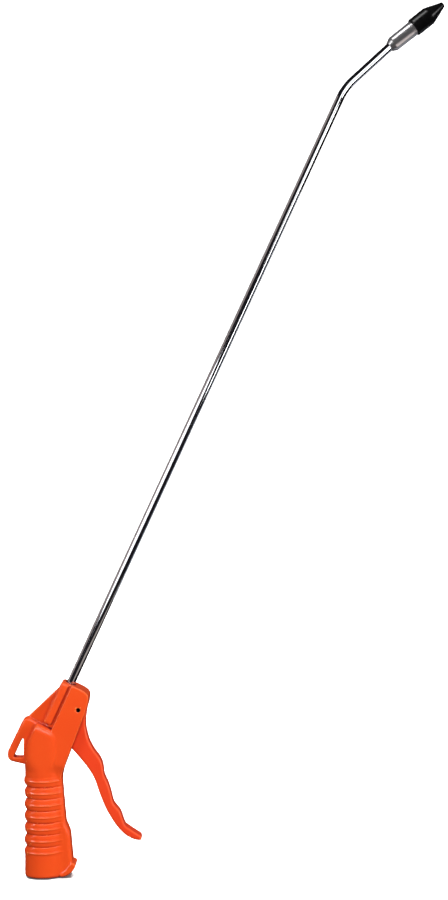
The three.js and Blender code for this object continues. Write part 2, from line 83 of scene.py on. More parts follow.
# ---- solids as distance fields -------------------------------------------------------
class Grid:
    """Regular grid of points over a box, in millimetres."""

    def __init__(self, low, high, step):
        self.step = step
        self.low = np.array(low, float)
        count = np.ceil((np.array(high, float) - self.low) / step).astype(int) + 1
        axes = [self.low[i] + step * np.arange(count[i]) for i in range(3)]
        self.x = axes[0][:, None, None]
        self.y = axes[1][None, :, None]
        self.z = axes[2][None, None, :]

    def head_axes(self):
        a = (self.x - NOSE[0]) * ALONG[0] + (self.z - NOSE[2]) * ALONG[2]
        b = (self.x - NOSE[0]) * AHEAD[0] + (self.z - NOSE[2]) * AHEAD[2]
        return a, b


def rounded(corners, steps=6):
    """Outline with its corners rounded: (x, z, reach) for each corner."""
    points = []
    count = len(corners)
    for i, corner in enumerate(corners):
        here = np.array(corner[:2], float)
        before = np.array(corners[i - 1][:2], float)
        after = np.array(corners[(i + 1) % count][:2], float)
        to_before = np.linalg.norm(here - before)
        to_after = np.linalg.norm(here - after)
        reach = corner[2] if len(corner) > 2 else 0.0
        reach = min(reach, 0.48 * to_before, 0.48 * to_after)
        if reach < 0.05:
            points.append(here)
            continue
        start = here + (before - here) * reach / to_before
        end = here + (after - here) * reach / to_after
        for k in range(steps + 1):
            t = k / steps
            points.append((1 - t) ** 2 * start + 2 * t * (1 - t) * here + t * t * end)
    return np.array(points)


def outline_field(grid, points):
    """Signed distance to a closed outline in the XZ plane."""
    x = grid.x
    z = grid.z
    best = np.full((x.shape[0], 1, z.shape[2]), 1e18)
    sign = np.ones_like(best)
    count = len(points)
    for i in range(count):
        p = points[i]
        q = points[i - 1]
        ex, ez = q - p
        wx = x - p[0]
        wz = z - p[1]
        t = np.clip((wx * ex + wz * ez) / (ex * ex + ez * ez), 0, 1)
        best = np.minimum(best, (wx - ex * t) ** 2 + (wz - ez * t) ** 2)
        above = z >= p[1]
        below = z < q[1]
        left = ex * wz > ez * wx
        flip = (above & below & left) | (~above & ~below & ~left)
        sign = np.where(flip, -sign, sign)
    return sign * np.sqrt(best)


def plate(grid, points, half, edge):
    """Outline given a width across Y, with round edges."""
    across = outline_field(grid, points) + edge
    deep = np.abs(grid.y) - half + edge
    outside = np.sqrt(np.maximum(across, 0) ** 2 + np.maximum(deep, 0) ** 2)
    return np.minimum(np.maximum(across, deep), 0) + outside - edge


def rod(grid, centre, axis, radius, low, high, edge=0.0):
    """Round bar about an axis through centre, from low to high along it."""
    rx = grid.x - centre[0]
    ry = grid.y - centre[1]
    rz = grid.z - centre[2]
    along = rx * axis[0] + ry * axis[1] + rz * axis[2]
    away = np.sqrt(np.maximum(rx * rx + ry * ry + rz * rz - along * along, 0))
    side = away - radius + edge
    end = np.abs(along - (low + high) / 2) - (high - low) / 2 + edge
    outside = np.sqrt(np.maximum(side, 0) ** 2 + np.maximum(end, 0) ** 2)
    return np.minimum(np.maximum(side, end), 0) + outside - edge


def join(a, b, blend):
    """Union of two fields with a fillet."""
    h = np.clip(0.5 + 0.5 * (b - a) / blend, 0, 1)
    return b * (1 - h) + a * h - blend * h * (1 - h)


def cut(a, b, blend):
    """Field a with b taken away, its edge rounded."""
    return -join(-a, b, blend)


def common(a, b, blend):
    return -join(-a, -b, blend)


def skin(name, grid, field):
    """Closed mesh where the field crosses zero: one point a crossed cell, pulled to the surface."""
    inside = field < 0
    step = grid.step
    corners = [(i, j, k) for i in (0, 1) for j in (0, 1) for k in (0, 1)]
    nx, ny, nz = field.shape
    cell = (nx - 1, ny - 1, nz - 1)

    def window(array, i, j, k):
        return array[i : i + cell[0], j : j + cell[1], k : k + cell[2]]

    total = sum(window(inside, *c).astype(np.int8) for c in corners)
    active = (total > 0) & (total < 8)
    index = np.full(cell, -1, np.int64)
    index[active] = np.arange(int(active.sum()))
    where = np.argwhere(active)
    value = {c: field[where[:, 0] + c[0], where[:, 1] + c[1], where[:, 2] + c[2]] for c in corners}
    place = np.zeros((len(where), 3))
    hits = np.zeros(len(where))
    for c in corners:
        for axis in range(3):
            if c[axis]:
                continue
            d = list(c)
            d[axis] = 1
            d = tuple(d)
            v0 = value[c]
            v1 = value[d]
            crossed = (v0 < 0) != (v1 < 0)
            t = np.where(crossed, v0 / np.where(crossed, v0 - v1, 1), 0)
            point = np.tile(np.array(c, float), (len(where), 1))
            point[:, axis] += t
            place += point * crossed[:, None]
            hits += crossed
    place = (where + place / hits[:, None]) * step + grid.low
    faces = []
    for axis in range(3):
        other = [o for o in range(3) if o != axis]
        lower = [slice(None)] * 3
        upper = [slice(None)] * 3
        lower[axis] = slice(0, field.shape[axis] - 1)
        upper[axis] = slice(1, field.shape[axis])
        a = inside[tuple(lower)]
        b = inside[tuple(upper)]
        spots = np.argwhere(a != b)
        keep = np.all([(spots[:, o] > 0) & (spots[:, o] < cell[o]) for o in other], axis=0)
        spots = spots[keep]
        starts_inside = a[spots[:, 0], spots[:, 1], spots[:, 2]]
        quad = []
        for du, dv in ((-1, -1), (0, -1), (0, 0), (-1, 0)):
            at = spots.copy()
            at[:, other[0]] += du
            at[:, other[1]] += dv
            quad.append(index[at[:, 0], at[:, 1], at[:, 2]])
        quad = np.stack(quad, 1)
        turn = starts_inside if axis != 1 else ~starts_inside
        faces.append(np.where(turn[:, None], quad, quad[:, ::-1]))
    faces = np.concatenate(faces)
    place = pull(grid, field, place)
    mesh = bpy.data.meshes.new(name)
    mesh.vertices.add(len(place))
    mesh.vertices.foreach_set("co", (place * MM).astype(np.float32).ravel())
    mesh.loops.add(len(faces) * 4)
    mesh.loops.foreach_set("vertex_index", faces.astype(np.int32).ravel())
    mesh.polygons.add(len(faces))
    mesh.polygons.foreach_set("loop_start", np.arange(len(faces), dtype=np.int32) * 4)
    mesh.update(calc_edges=True)
    mesh.validate()
    mesh.shade_smooth()
    obj = bpy.data.objects.new(name, mesh)
    bpy.context.scene.collection.objects.link(obj)
    return obj


def sample(grid, array, place):
    """Trilinear reading of a grid array at points."""
    local = (place - grid.low) / grid.step
    top = np.array(array.shape) - 2
    base = np.clip(np.floor(local).astype(int), 0, top)
    t = np.clip(local - base, 0, 1)
    total = 0
    for i in (0, 1):
        for j in (0, 1):
            for k in (0, 1):
                weight = (
                    (t[:, 0] if i else 1 - t[:, 0])
                    * (t[:, 1] if j else 1 - t[:, 1])
                    * (t[:, 2] if k else 1 - t[:, 2])
                )
                total = total + weight * array[base[:, 0] + i, base[:, 1] + j, base[:, 2] + k]
    return total


def pull(grid, field, place, rounds=3):
    """Moves points along the field's slope until they lie on the surface."""
    slope = np.gradient(field, grid.step)
    for _ in range(rounds):
        value = sample(grid, field, place)
        normal = np.stack([sample(grid, s, place) for s in slope], 1)
        size = np.maximum((normal**2).sum(1), 0.05)
        move = -(value / size)[:, None] * normal
        length = np.linalg.norm(move, axis=1, keepdims=True)
        limit = 0.6 * grid.step
        place = place + move * np.minimum(1, limit / np.maximum(length, 1e-9))
    return place


# ---- the moulded grip ----------------------------------------------------------------
GAP = 0.15  # assembly gap between pieces that do not move against each other
GRIP_CENTRE = -2.7
GRIP_DEPTH = 13.2  # half depth of the column between ribs, fore and aft
GRIP_WIDTH = 12.0  # half width of the column between ribs
GRIP_HEIGHT = 120.0
BACK_INSET = 1.25  # how far the back stands in between ribs
RIB_PITCH = 9.08
RIB_FIRST = 19.1  # height of the lowest rib
RIB_COUNT = 7
RIB_LIFT = 1.0  # rise of the ribs' lines towards the front
RIB_BEHIND = 2.45  # height of the ribs at the back
PLAIN_BEHIND = 0.84  # share of it that the plain base and top keep
CREST_LINE = 0.62  # half width of the line along each rib's crest
GROOVE_LINE = 0.8  # half width of the line between ribs
CHEEK_HALF = 11.0
CHEEK_FADE = 3.6  # how far the cheeks' lower ends sink into the column
SPINE_HALF = 7.6
RIM_HALF = 8.6
WEB_HALF = 2.6
LOOP_HALF = 5.4
SEAT_HALF = 8.3
RIDGE_HALF = 9.9
SLOT_HALF = 6.7
CORE_RADIUS = 6.5
SHOULDER = 35.7  # shoulder of the column below the nose, along the tube
COLUMN_REAR = 10.9  # rear of the column's top, behind the tube axis

POPPET_BACK = -2.4
FERRULE_RADIUS = 5.1
FERRULE_PASSAGE = 4.1
CHAMBER_RADIUS = 4.3
CHAMBER_END = -8.6
CARTRIDGE_RADIUS = 5.2
PORT_CENTRE = 3.2
PORT_RADIUS = 1.3
DUCT_RADIUS = 2.8
INLET_RADIUS = 8.35
INLET_DEPTH = 18.2
PIN_HOLE = 1.65
PIN_RING = 2.5  # radius of the fine ring moulded round each pin hole


def ease(value, low, high):
    t = np.clip((value - low) / (high - low), 0, 1)
    return t * t * (3 - 2 * t)


def rib_profiles(z):
    """Rise of the ribs along the grip: at the sides, with a fine crest and groove, and at the back."""
    half = 0.5 * RIB_PITCH
    side = np.full_like(z, -1.0)
    behind = np.zeros_like(z)
    for k in range(RIB_COUNT):
        offset = z - (RIB_FIRST + RIB_PITCH * k)
        bulge = np.clip(1 - (offset / half) ** 2, 0, 1)
        scallop = bulge**0.75
        groove = np.exp(-(((offset + half) / GROOVE_LINE) ** 2))
        if k == 0:
            bulge = np.maximum(bulge, 0.8 * (offset < 0))
            scallop = np.maximum(scallop, PLAIN_BEHIND * (offset < 0))
            groove = 0
        if k == RIB_COUNT - 1:
            bulge = np.maximum(bulge, 0.5 * (offset > 0))
            scallop = np.maximum(scallop * 1.18, PLAIN_BEHIND * (offset > 0))
        crest = np.exp(-(((offset - 0.1) / CREST_LINE) ** 2))
        relief = 0.5 * bulge + 0.55 * crest - 0.8 * groove
        side = np.where(np.abs(offset) <= half, relief, side)
        behind = np.maximum(behind, scallop)
    below = z < RIB_FIRST - half
    above = z > RIB_FIRST + RIB_PITCH * (RIB_COUNT - 1) + half
    side = np.where(below, 0.4, np.where(above, 0.25, side))
    return side, RIB_BEHIND * behind


def grip_column(grid):
    """Round-cornered column with ribs round its back and sides."""
    squareness = 2.2 + 1.8 * ease(grid.z, 80.0, 92.0)
    x = grid.x - GRIP_CENTRE
    y = grid.y
    angle = np.arctan2(np.abs(y), x)
    back = ease(angle, 1.9, 2.8)
    lift = RIB_LIFT * np.clip(1 - angle / 0.9, 0, 1)
    side, behind = rib_profiles(grid.z - lift)
    wrap = ease(angle, 0.1, 0.3)
    swell = (side * (1 - back) + behind * back) * wrap
    inset = BACK_INSET * back
    depth = GRIP_DEPTH - inset + swell
    width = GRIP_WIDTH - inset + swell
    ratio = (np.abs(x / depth) ** squareness + np.abs(y / width) ** squareness) ** (1 / squareness)
    column = (ratio - 1) * GRIP_WIDTH
    foot = np.abs(grid.z - GRIP_HEIGHT / 2) - GRIP_HEIGHT / 2
    return common(column, foot, 2.4)


def cheek_outline():
    return rounded(
        [
            (*head(1.2, 1.65), 0),
            (*head(1.4, 5.0), 1),
            (*head(1.2, 12.0), 3),
            (*head(-0.4, 16.6), 3),
            (*head(-6.0, 18.4), 3),
            (31.2, 130.0, 4),
            (28.7, 122.3, 4),
            (19.6, 98.9, 6),
            (13.0, 81.3, 4),
            (10.8, 76.0, 0),
            (-2.0, 74.0, 0),
            (*head(-50.0, -4.0), 0),
            (*head(-37.2, -4.0), 0),
            (*head(-37.2, 1.65), 0),
        ]
    )


def spine_outline():
    return rounded(
        [
            (10.2, 84, 0),
            (11.2, 77, 2),
            (12.5, 64, 8),
            (14.9, 41.2, 2.0),
            (18.2, 33.6, 2.4),
            (19.2, 22.0, 6),
            (20.2, 11.6, 1.5),
            (20.4, 8.0, 1.5),
            (18.0, 3.5, 2.5),
            (12.0, 0.0, 2.5),
            (-4, 0, 0),
            (-4, 84, 0),
        ]
    )


def foot_lip(grid):
    """Rim round the slanted front of the foot."""
    outline = [(19.4, 11.8, 1), (22.6, 10.4, 1.5), (22.3, 7.6, 2), (20.0, 4.2, 2.5), (16.0, 1.2, 2.5)]
    outline += [(11.6, 0.0, 2), (9.4, 2.2, 1), (14.6, 5.6, 1)]
    return plate(grid, rounded(outline), RIM_HALF, 1.4)


def hanging_loop():
    return rounded(
        [
            (*head(-36.6, -6), 0),
            (*head(-35.4, -17.6), 1.5),
            (-17.0, 121.4, 2.2),
            (-19.7, 116.4, 2),
            (-30.25, 94.6, 4),
            (-29.1, 88.6, 3.0),
            (-14.0, 84.9, 0),
            (-8, 100, 0),
        ]
    )


def tube_ridge(grid, a, b):
    """Rounded ridge beside the tube's seat, running down to the shoulder of the grip."""
    across = np.abs(b + 3.15) - 3.5
    deep = np.abs(grid.y) - RIDGE_HALF
    corner = 2.4
    inside = np.minimum(np.maximum(across, deep) + corner, 0)
    outside = np.sqrt(np.maximum(across + corner, 0) ** 2 + np.maximum(deep + corner, 0) ** 2)
    ridge = inside + outside - corner
    ridge = common(ridge, -33.8 - a + 0 * grid.y, 3.0)
    return common(ridge, a - 0.5 + 0 * grid.y, 2.4)


def seat_outline():
    return rounded([head(0.6, -2), head(0.6, 3), head(-35.0, 3), head(-35.0, -2)])


def web_outline():
    return rounded([(12.6, 147.4), (-12.4, 123.8, 3), (-17.6, 118.5), (2, 96), (14, 140)])


def hook_hole():
    return rounded(
        [
            (-17.4, 105.4, 1.0),
            (-17.4, 91.1, 1.4),
            (-25.4, 91.1, 1.8),
            (-18.7, 105.4, 0.6),
        ]
    )


def lever_slot():
    return rounded([head(-7.2, 7.6), head(-7.2, 30), (60, 70), (17.6, 84.6), head(-50, 7.6)])


def housing_field(grid):
    a, b = grid.head_axes()
    thick = common(grip_column(grid), a + SHOULDER + 0 * grid.y, 6.0)
    thick = common(thick, -COLUMN_REAR - b + 0 * grid.y, 2.0)
    taper = CHEEK_FADE * ease(-grid.z, -88.0, -75.0)
    cheek = plate(grid, cheek_outline(), CHEEK_HALF, 1.2)
    cheek = common(cheek, np.abs(grid.y) - CHEEK_HALF + taper + 0 * a, 0.6)
    body = join(thick, cheek, 0.5)
    body = join(body, plate(grid, spine_outline(), SPINE_HALF, 3.2), 4.0)
    body = join(body, foot_lip(grid), 0.7)
    body = join(body, plate(grid, web_outline(), WEB_HALF, 0.9), 0.4)
    body = join(body, plate(grid, hanging_loop(), LOOP_HALF, 2.4), 0.4)
    body = join(body, rod(grid, NOSE, ALONG, CORE_RADIUS, -38.0, 0.9, 0.6), 0.3)
    body = join(body, plate(grid, seat_outline(), SEAT_HALF, 0.5), 0.3)
    body = join(body, tube_ridge(grid, a, b), 0.3)
    return common(body, 0.05 - grid.z + 0 * body, 0.4)


def housing_cuts(grid, body):
    base = np.zeros(3)
    up = np.array([0.0, 0.0, 1.0])
    across = np.array([0.0, 1.0, 0.0])
    body = cut(body, outline_field(grid, hook_hole()) + 0 * grid.y, 0.8)
    body = cut(body, plate(grid, lever_slot(), SLOT_HALF, 0.3), 0.6)
    body = cut(body, rod(grid, base, up, INLET_RADIUS, -3, INLET_DEPTH), 0.5)
    body = cut(body, rod(grid, NOSE, ALONG, FERRULE_PASSAGE, -3, 6), 0.4)
    port = NOSE + PORT_CENTRE * AHEAD
    for centre, axis, radius, start, end in (
        (NOSE, ALONG, FERRULE_RADIUS + GAP, -27.5, -1.85),
        (VALVE, AHEAD, CHAMBER_RADIUS, CHAMBER_END, 9),
        (VALVE, AHEAD, CARTRIDGE_RADIUS + GAP, 0.55, 9),
        (port, ALONG, PORT_RADIUS, -VALVE_BELOW_NOSE, -26.5),
    ):
        body = cut(body, rod(grid, centre, axis, radius, start, end), 0.1)
    duct_end = NOSE - 43.0 * ALONG - 5.0 * AHEAD
    duct = duct_end - np.array([0.0, 0.0, 17.2])
    length = np.linalg.norm(duct)
    body = cut(body, rod(grid, duct_end - duct, duct / length, DUCT_RADIUS, 0, length), 0.1)
    body = cut(body, rod(grid, PIVOT, across, PIN_HOLE, -14, 14), 0.3)
    from_pin = np.sqrt((grid.x - PIVOT[0]) ** 2 + (grid.z - PIVOT[2]) ** 2)
    ring = np.abs(from_pin - PIN_RING)
    groove = np.sqrt(ring**2 + (np.abs(grid.y) - CHEEK_HALF - 0.2) ** 2) - 0.35
    return cut(body, groove, 0.3)


HOUSING_STEP = 0.4
LEVER_STEP = 0.45


def build_housing():
    low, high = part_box("grip_housing")
    low = np.array(low) / MM - 2.5
    high = np.array(high) / MM + 2.5
    grid = Grid(low, high, HOUSING_STEP)
    field = housing_cuts(grid, housing_field(grid))
    return skin("grip_shell", grid, field)


# ---- the lever -----------------------------------------------------------------------
LEVER_HALF = 6.15
LEVER_BORE = 1.8


def build_lever():
    front = [
        (30.9, 128.2, 2),
        (29.7, 119.0, 6),
        (30.1, 112.5, 6),
        (32.6, 103.0, 6),
        (36.6, 96.0, 4),
        (41.4, 90.0, 4),
        (43.5, 84.0, 4),
        (43.7, 78.0, 3.2),
        (47.2, 71.0, 5),
        (49.5, 63.5, 5),
        (50.9, 56.2, 3.2),
        (56.6, 49.8, 4.5),
        (58.6, 43.6, 4.5),
        (60.2, 39.2, 3.2),
        (67.6, 34.2, 4),
        (72.6, 31.2, 3),
        (73.2, 27.9, 3),
        (68.2, 28.0, 3),
    ]
    back = [
        (60.8, 31.4, 4),
        (54.0, 38.3, 6),
        (46.2, 50.5, 8),
        (41.0, 62.8, 8),
        (37.0, 75.3, 8),
        (31.3, 84.2, 8),
        (23.5, 93.4, 3),
        (17.4, 100.2, 1),
        (*head(-46.4, 15.5), 2),
        (*head(-46.4, 12.0), 2),
        (*head(-38.6, 12.0), 2),
        (*head(-30, 11.2), 4),
        (*head(-19.7, 8.6), 3),
        (*head(-13.7, 8.0), 4),
        (*head(-7.7, 8.0), 5),
        (*head(-7.7, 18.8), 5),
    ]
    low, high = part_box("lever")
    grid = Grid(np.array(low) / MM - 1.5, np.array(high) / MM + 1.5, LEVER_STEP)
    field = plate(grid, rounded(front + back), LEVER_HALF, 1.5)
    pin = rod(grid, PIVOT, np.array([0.0, 1.0, 0.0]), LEVER_BORE, -9, 9)
    return skin("lever_body", grid, cut(field, pin, 0.4))


# ---- turned and bent pieces ----------------------------------------------------------
TUBE_RADIUS = 3.175
TUBE_BORE = 2.25
TUBE_IN_NOSE = 24.0
TUBE_IN_SLEEVE = 13.0
BEND_RADIUS = 46.0
CRIMP_RADIUS = 30.0
SLEEVE_BORE = 3.32
SLEEVE_RADIUS = 5.85
SLEEVE_END = 23.4
SPIGOT_RADIUS = 4.7
SPIGOT_LENGTH = 8.5
TIP_BASE = 23.5  # rear face of the rubber tip, from the mouth of the sleeve
TIP_CYLINDER = 14.7
TIP_RADIUS = 7.03
TIP_BORE = 1.0
BUSHING_RADIUS = 8.2
BUSHING_LENGTH = 16.0
THREAD_PITCH = 1.41
THREAD_TURNS = 8
PIN_RADIUS = 1.5
PIN_HALF = 9.9


def frame_about(axis):
    axis = np.array(axis, float)
    across = np.array([0.0, 1.0, 0.0])
    if abs(axis[1]) > 0.9:
        across = np.array([1.0, 0.0, 0.0])
    other = np.cross(axis, across)
    other /= np.linalg.norm(other)
    return across, other


def new_mesh(name, verts, faces):
    mesh = bpy.data.meshes.new(name)
    mesh.from_pydata([tuple(v * MM) for v in verts], [], faces)
    mesh.validate()
    work = bmesh.new()
    work.from_mesh(mesh)
    bmesh.ops.remove_doubles(work, verts=work.verts, dist=1e-7)
    bmesh.ops.recalc_face_normals(work, faces=work.faces)
    work.to_mesh(mesh)
    work.free()
    obj = bpy.data.objects.new(name, mesh)
    bpy.context.scene.collection.objects.link(obj)
    return obj


def soften(profile, reach=0.35, steps=3):
    """Turned outline with its corners rounded."""
    out = []
    count = len(profile)
    for i, corner in enumerate(profile):
        here = np.array(corner[:2], float)
        before = np.array(profile[i - 1][:2], float)
        after = np.array(profile[(i + 1) % count][:2], float)
        first = np.linalg.norm(here - before)
        second = np.linalg.norm(here - after)
        size = min(corner[2] if len(corner) > 2 else reach, 0.45 * first, 0.45 * second)
        if size < 1e-3:
            out.append(here)
            continue
        start = here + (before - here) * size / first
        end = here + (after - here) * size / second
        for k in range(steps + 1):
            t = k / steps
            out.append((1 - t) ** 2 * start + 2 * t * (1 - t) * here + t * t * end)
    return out


def turned(name, profile, origin, axis, sides=96):
    """Closed ring of (radius, position) turned about an axis."""
    across, other = frame_about(axis)
    axis = np.array(axis, float)
    count = len(profile)
    verts = []
    for s in range(sides):
        angle = 2 * math.pi * s / sides
        outward = across * math.cos(angle) + other * math.sin(angle)
        verts.extend(origin + outward * r + axis * p for r, p in profile)
    faces = []
    for s in range(sides):
        t = (s + 1) % sides
        for k in range(count):
            m = (k + 1) % count
            faces.append((s * count + k, s * count + m, t * count + m, t * count + k))
    obj = new_mesh(name, verts, faces)
    smooth(obj)
    return obj


def smooth(obj, degrees=40.0):
    obj.data.shade_smooth()
    work = bmesh.new()
    work.from_mesh(obj.data)
    limit = math.radians(degrees)
    for edge in work.edges:
        if len(edge.link_faces) == 2 and edge.calc_face_angle(0) > limit:
            edge.smooth = False
    work.to_mesh(obj.data)
    work.free()


def tube_stations():
    """Centre line of the extension tube with its bend and its small turn at the sleeve."""
    start = NOSE - TUBE_IN_NOSE * ALONG
    finish = MOUTH + TUBE_IN_SLEEVE * TIP_AXIS
    stations = []
    previous = start
    corners = [(BEND, BEND_RADIUS, 28, MOUTH), (MOUTH, CRIMP_RADIUS, 6, finish)]
    stations.append((start, ALONG))
    for corner, radius, steps, following in corners:
        into = (corner - previous) / np.linalg.norm(corner - previous)
        out = (following - corner) / np.linalg.norm(following - corner)
        turn = math.acos(float(np.clip(into @ out, -1, 1)))
        inward = (out - into) / np.linalg.norm(out - into)
        centre = corner + inward * radius / math.cos(turn / 2)
        for s in range(steps + 1):
            angle = turn * s / steps
            outward = -inward * math.cos(angle - turn / 2)
            side = np.cross(np.array([0.0, 1.0, 0.0]), inward)
            side = side if side @ (into + out) > 0 else -side
            outward = outward + side * math.sin(angle - turn / 2)
            heading = into * math.sin(turn - angle) + out * math.sin(angle)
            heading /= np.linalg.norm(heading)
            stations.append((centre + outward * radius, heading))
        previous = corner
    stations.append((finish, out))
    return stations


def build_tube():
    sides = 64
    across = np.array([0.0, 1.0, 0.0])
    stations = tube_stations()
    verts = []
    for radius in (TUBE_RADIUS, TUBE_BORE):
        for point, heading in stations:
            up = np.cross(heading, across)
            up /= np.linalg.norm(up)
            for s in range(sides):
                angle = 2 * math.pi * s / sides
                verts.append(point + radius * (up * math.cos(angle) + across * math.sin(angle)))
    faces = []
    rows = len(stations)
    for layer in (0, 1):
        for r in range(rows - 1):
            for s in range(sides):
                t = (s + 1) % sides
                a = layer * rows * sides + r * sides
                faces.append((a + s, a + t, a + sides + t, a + sides + s))
    for r in (0, rows - 1):
        for s in range(sides):
            t = (s + 1) % sides
            outer = r * sides
            inner = (rows + r) * sides
            faces.append((outer + s, outer + t, inner + t, inner + s))
    obj = new_mesh("tube_body", verts, faces)
    smooth(obj)
    return obj


def build_sleeve():
    """Turned sleeve with a cone mouth and two fine grooves beside the rubber."""
    bore = SLEEVE_BORE
    outer = SLEEVE_RADIUS
    profile = [
        (bore, 0.0, 0.1),
        (3.75, 0.0, 0.25),
        (outer - 0.1, 3.6, 0.9),
        (outer, 20.2, 0.1),
        (outer, 20.75, 0.12),
        (outer - 0.3, 20.95, 0.12),
        (outer - 0.3, 21.15, 0.12),
        (outer, 21.35, 0.12),
        (outer, 21.95, 0.12),
        (outer - 0.25, 22.1, 0.1),
        (outer - 0.25, 22.3, 0.1),
        (outer, 22.45, 0.12),
        (outer, 23.0, 0.3),
        (outer - 0.3, SLEEVE_END, 0.2),
        (SPIGOT_RADIUS + GAP, SLEEVE_END, 0.1),
        (SPIGOT_RADIUS + GAP, 14.6, 0.1),
        (bore, 13.8, 0.1),
    ]
    return turned("sleeve_body", soften(profile), MOUTH, TIP_AXIS)


def build_tip():
    base = TIP_BASE
    shoulder = base + TIP_CYLINDER
    end = TIP_LENGTH - 0.03
    profile = [
        (2.65, base - SPIGOT_LENGTH, 0.1),
        (SPIGOT_RADIUS, base - SPIGOT_LENGTH, 0.3),
        (SPIGOT_RADIUS, base, 0.05),
        (6.5, base, 0.3),
        (TIP_RADIUS, base + 0.7, 0.7),
        (TIP_RADIUS, shoulder, 1.2),
        (2.0, end, 0.25),
        (TIP_BORE, end, 0.15),
        (TIP_BORE, base + 6, 0.3),
        (2.65, base + 3.6, 0.3),
    ]
    return turned("tip_body", soften(profile, steps=5), MOUTH, TIP_AXIS)


def build_bushing():
    """Threaded insert in the base, with the thread's turns as fine rings."""
    outer = BUSHING_RADIUS
    length = BUSHING_LENGTH
    profile = [(6.5, 0.0, 0.1), (outer, 0.0, 0.15), (outer, length - 1, 0.2)]
    profile += [(outer - 1, length, 0.2), (3.2, length, 0.2), (3.2, 14.0, 0.2), (5.5, 12.6, 0.2)]
    for turn in range(THREAD_TURNS, 0, -1):
        height = 0.7 + turn * THREAD_PITCH
        profile.append((6.15, height + THREAD_PITCH / 2, 0.1))
        profile.append((5.7, height, 0.1))
    return turned("bushing_body", soften(profile), np.zeros(3), (0, 0, 1))


def build_pin():
    end = PIN_HALF
    profile = [(0.95, -end, 0.1), (1.3, -end, 0.1), (PIN_RADIUS, 0.3 - end, 0.1)]
    profile += [(PIN_RADIUS, end - 0.3, 0.1), (1.3, end, 0.1), (0.95, end, 0.1)]
    return turned("pin_body", soften(profile, 0.1), PIVOT, (0, 1, 0), 40)


def build_spring():
    """Compression spring behind the poppet, wound about the valve axis."""
    wire = 0.25
    coil = 2.5
    turns = 3
    steps = 36
    sides = 12
    low = CHAMBER_END + wire + 0.12
    high = POPPET_BACK - wire - 0.12
    across = np.array([0.0, 1.0, 0.0])
    verts = []
    total = turns * steps
    for i in range(total + 1):
        angle = 2 * math.pi * i / steps
        outward = across * math.cos(angle) + ALONG * math.sin(angle)
        centre = VALVE + AHEAD * (low + (high - low) * i / total) + outward * coil
        for k in range(sides):
            turn = 2 * math.pi * k / sides
            verts.append(centre + wire * (outward * math.cos(turn) + AHEAD * math.sin(turn)))
    faces = [list(range(sides)), list(range(total * sides, (total + 1) * sides))]
    for i in range(total):
        for k in range(sides):
            m = (k + 1) % sides
            faces.append((i * sides + k, i * sides + m, (i + 1) * sides + m, (i + 1) * sides + k))
    obj = new_mesh("spring_coil", verts, faces)
    smooth(obj)
    return obj


# ---- materials -----------------------------------------------------------------------
def material(name):
    mat = bpy.data.materials.new(name)
    mat.use_nodes = True
    tree = mat.node_tree
    return mat, tree, tree.nodes["Principled BSDF"]


def texture(tree, kind, scale, detail=4.0, roughness=0.55, vector=None):
    node = tree.nodes.new(kind)
    node.inputs["Scale"].default_value = scale
    node.inputs["Detail"].default_value = detail
    node.inputs["Roughness"].default_value = roughness
    if vector is not None:
        tree.links.new(vector, node.inputs["Vector"])
    return node


def ramp(tree, source, stops):
    node = tree.nodes.new("ShaderNodeValToRGB")
    elements = node.color_ramp.elements
    while len(elements) < len(stops):
        elements.new(0.5)
    for element, (place, colour) in zip(elements, stops):
        element.position = place
        element.color = (*colour, 1.0) if isinstance(colour, tuple) else (colour,) * 3 + (1.0,)
    tree.links.new(source, node.inputs["Fac"])
    return node


def mix(tree, amount, first, second, blend="MIX"):
    node = tree.nodes.new("ShaderNodeMix")
    node.data_type = "RGBA"
    node.blend_type = blend
    if isinstance(amount, float):
        node.inputs["Factor"].default_value = amount
    else:
        tree.links.new(amount, node.inputs["Factor"])
    for socket, value in (("A", first), ("B", second)):
        slot = [s for s in node.inputs if s.name == socket and s.type == "RGBA"][0]
        if isinstance(value, tuple):
            slot.default_value = (*value, 1.0)
        else:
            tree.links.new(value, slot)
    return [s for s in node.outputs if s.type == "RGBA"][0]


def bump(tree, shader, height, strength, distance):
    node = tree.nodes.new("ShaderNodeBump")
    node.inputs["Strength"].default_value = strength
    node.inputs["Distance"].default_value = distance
    tree.links.new(height, node.inputs["Height"])
    tree.links.new(node.outputs["Normal"], shader.inputs["Normal"])


def edge_mask(tree, low, high):
    geometry = tree.nodes.new("ShaderNodeNewGeometry")
    return ramp(tree, geometry.outputs["Pointiness"], [(low, 0.0), (high, 1.0)])


